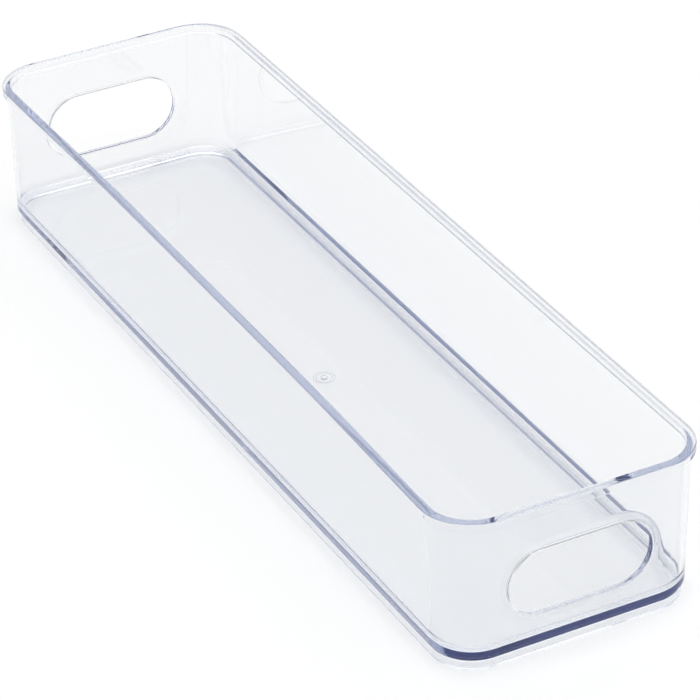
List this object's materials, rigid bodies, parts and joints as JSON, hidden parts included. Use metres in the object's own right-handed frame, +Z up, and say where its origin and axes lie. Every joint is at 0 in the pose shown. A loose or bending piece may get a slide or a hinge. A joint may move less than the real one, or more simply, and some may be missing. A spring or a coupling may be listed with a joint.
{
  "type": "organizer bin",
  "caption": "Long, low, open-topped clear plastic storage bin with rounded corners, drafted walls, a rolled rim lip, a stacking foot and an obround handle slot in each end wall.",
  "frame": {"origin": "middle of the footprint, on the surface that the stacking foot stands on", "axes": "+Z up out of the open top, +Y along the bin's length with the front end towards -Y, +X across it"},
  "size_m": [0.102, 0.37, 0.06],
  "materials": {
    "clear_plastic": "clear and polished, with a faint blue-violet tint that shows at thick and edge-on sections"
  },
  "bodies": {
    "root": {"floor_panel": "clear_plastic", "stacking_foot": "clear_plastic", "left_wall": "clear_plastic", "right_wall": "clear_plastic", "front_wall": "clear_plastic", "rear_wall": "clear_plastic", "front_left_corner": "clear_plastic", "front_right_corner": "clear_plastic", "rear_left_corner": "clear_plastic", "rear_right_corner": "clear_plastic", "rim_lip": "clear_plastic", "front_handle_collar": "clear_plastic", "rear_handle_collar": "clear_plastic"}
  },
  "joints": []
}
